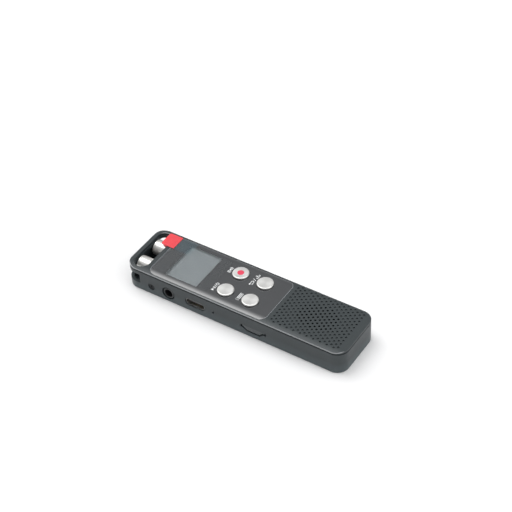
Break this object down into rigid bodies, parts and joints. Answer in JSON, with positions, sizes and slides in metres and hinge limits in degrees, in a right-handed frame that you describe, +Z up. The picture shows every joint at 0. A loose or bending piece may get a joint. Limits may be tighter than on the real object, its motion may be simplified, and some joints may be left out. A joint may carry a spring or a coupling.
{
  "type": "handheld voice recorder",
  "caption": "Slim handheld voice recorder with a display, round metal buttons, a perforated speaker end and microphones in an open corner window.",
  "frame": {"origin": "centre of the flat bottom, on the surface the recorder lies on", "axes": "+X along the length, from the microphone end to the speaker end; +Y across, from the socket side to the key side; +Z up through the buttons"},
  "size_m": [0.1, 0.0256, 0.0119],
  "materials": {
    "body_paint": "satin, very fine grain, dark blue-grey",
    "cover_paint": "satin, very fine grain, dark blue-grey",
    "lens_gloss": "glossy smoked panel, printed black behind, clear over the display",
    "mask_black": "black printed mask and adhesive",
    "film_clear": "thin clear protective film",
    "tab_red": "translucent red film tab",
    "display_grey": "unlit grey liquid crystal display",
    "backlight_white": "white diffuser frame",
    "flex_amber": "amber flexible circuit",
    "button_metal": "spun, concentric turning marks, polished bevel",
    "dot_red": "red enamel inlay",
    "plunger_black": "black switch plunger",
    "switch_metal": "plated switch case",
    "control_paint": "satin dark blue-grey key",
    "board_green": "green solder mask with tinned pads",
    "chip_black": "black moulded chip package",
    "coil_ferrite": "dark grey ferrite",
    "connector_ivory": "ivory moulded connector",
    "socket_metal": "bright plated steel shell",
    "tongue_black": "black moulded tongue with gold contacts",
    "jack_black": "dark moulded jack body",
    "plug_rubber": "satin rubber in the body's colour",
    "screw_dark": "blackened steel",
    "screw_zinc": "zinc plated steel",
    "mic_metal": "bead-blasted barrel with polished edges",
    "mic_mesh": "fine woven steel mesh",
    "mic_can": "drawn aluminium capsule",
    "holder_rubber": "soft black rubber",
    "speaker_plastic": "black moulded speaker frame",
    "magnet_plated": "plated magnet",
    "cone_film": "thin polymer diaphragm",
    "foam_black": "closed-cell foam",
    "cloth_black": "fine black acoustic cloth",
    "battery_foil": "crinkled laminate pouch",
    "lead_red_black": "insulated hook-up wire"
  },
  "bodies": {
    "recorder": {"body_tub": "body_paint", "front_cover": "cover_paint", "front_lens": "lens_gloss", "lens_mask": "mask_black", "screen_film": "film_clear", "film_pull_tab": "tab_red", "film_tab_strip": "film_clear", "display_backlight": "backlight_white", "display_glass": "display_grey", "display_flex": "flex_amber", "key_switches": "switch_metal", "volume_switches": "switch_metal", "hold_switch": "switch_metal", "headphone_jack": "jack_black", "charge_socket_shell": "socket_metal", "charge_socket_tongue": "tongue_black", "card_socket": "socket_metal", "reset_switch": "plunger_black", "main_board": "board_green", "key_board": "board_green", "board_connector": "connector_ivory", "processor": "chip_black", "memory_chip": "chip_black", "power_coil": "coil_ferrite", "main_board_screws": "screw_zinc", "key_board_screws": "screw_zinc", "side_screws": "screw_dark", "mic_barrel_left": "mic_metal", "mic_barrel_right": "mic_metal", "mic_meshes": "mic_mesh", "mic_capsules": "mic_can", "mic_holder": "holder_rubber", "speaker_frame": "speaker_plastic", "speaker_magnet": "magnet_plated", "speaker_cone": "cone_film", "speaker_gasket": "foam_black", "speaker_mesh": "cloth_black", "battery_pad": "foam_black", "battery": "battery_foil", "battery_board": "board_green", "battery_leads": "lead_red_black", "speaker_leads": "lead_red_black", "mic_leads": "lead_red_black"},
    "record": {"record_button": "button_metal", "record_dot": "dot_red", "record_plunger": "plunger_black"},
    "back": {"back_button": "button_metal", "back_plunger": "plunger_black"},
    "play": {"play_button": "button_metal", "play_plunger": "plunger_black"},
    "menu": {"menu_button": "button_metal", "menu_plunger": "plunger_black"},
    "volume_up": {"volume_up_key": "control_paint", "volume_up_plunger": "plunger_black"},
    "volume_down": {"volume_down_key": "control_paint", "volume_down_plunger": "plunger_black"},
    "hold": {"hold_slider": "control_paint"},
    "card_plug": {"card_slot_plug": "plug_rubber"}
  },
  "joints": [
    {"name": "record_press", "type": "slide", "parent": "recorder", "child": "record", "axis": [0, 0, -1], "range_m": [0, 0.00025], "stiffness_N_per_m": 2000, "springref_m": -0.0001},
    {"name": "back_press", "type": "slide", "parent": "recorder", "child": "back", "axis": [0, 0, -1], "range_m": [0, 0.00025], "stiffness_N_per_m": 2000, "springref_m": -0.0001},
    {"name": "play_press", "type": "slide", "parent": "recorder", "child": "play", "axis": [0, 0, -1], "range_m": [0, 0.00025], "stiffness_N_per_m": 2000, "springref_m": -0.0001},
    {"name": "menu_press", "type": "slide", "parent": "recorder", "child": "menu", "axis": [0, 0, -1], "range_m": [0, 0.00025], "stiffness_N_per_m": 2000, "springref_m": -0.0001},
    {"name": "volume_up_press", "type": "slide", "parent": "recorder", "child": "volume_up", "axis": [0, -1, 0], "range_m": [0, 0.00025], "stiffness_N_per_m": 2000, "springref_m": -0.0001},
    {"name": "volume_down_press", "type": "slide", "parent": "recorder", "child": "volume_down", "axis": [0, -1, 0], "range_m": [0, 0.00025], "stiffness_N_per_m": 2000, "springref_m": -0.0001},
    {"name": "hold_slide", "type": "slide", "parent": "recorder", "child": "hold", "axis": [1, 0, 0], "range_m": [0, 0.002]},
    {"name": "card_plug_pull", "type": "slide", "parent": "recorder", "child": "card_plug", "axis": [0, -1, 0], "range_m": [0, 0.0042]}
  ]
}
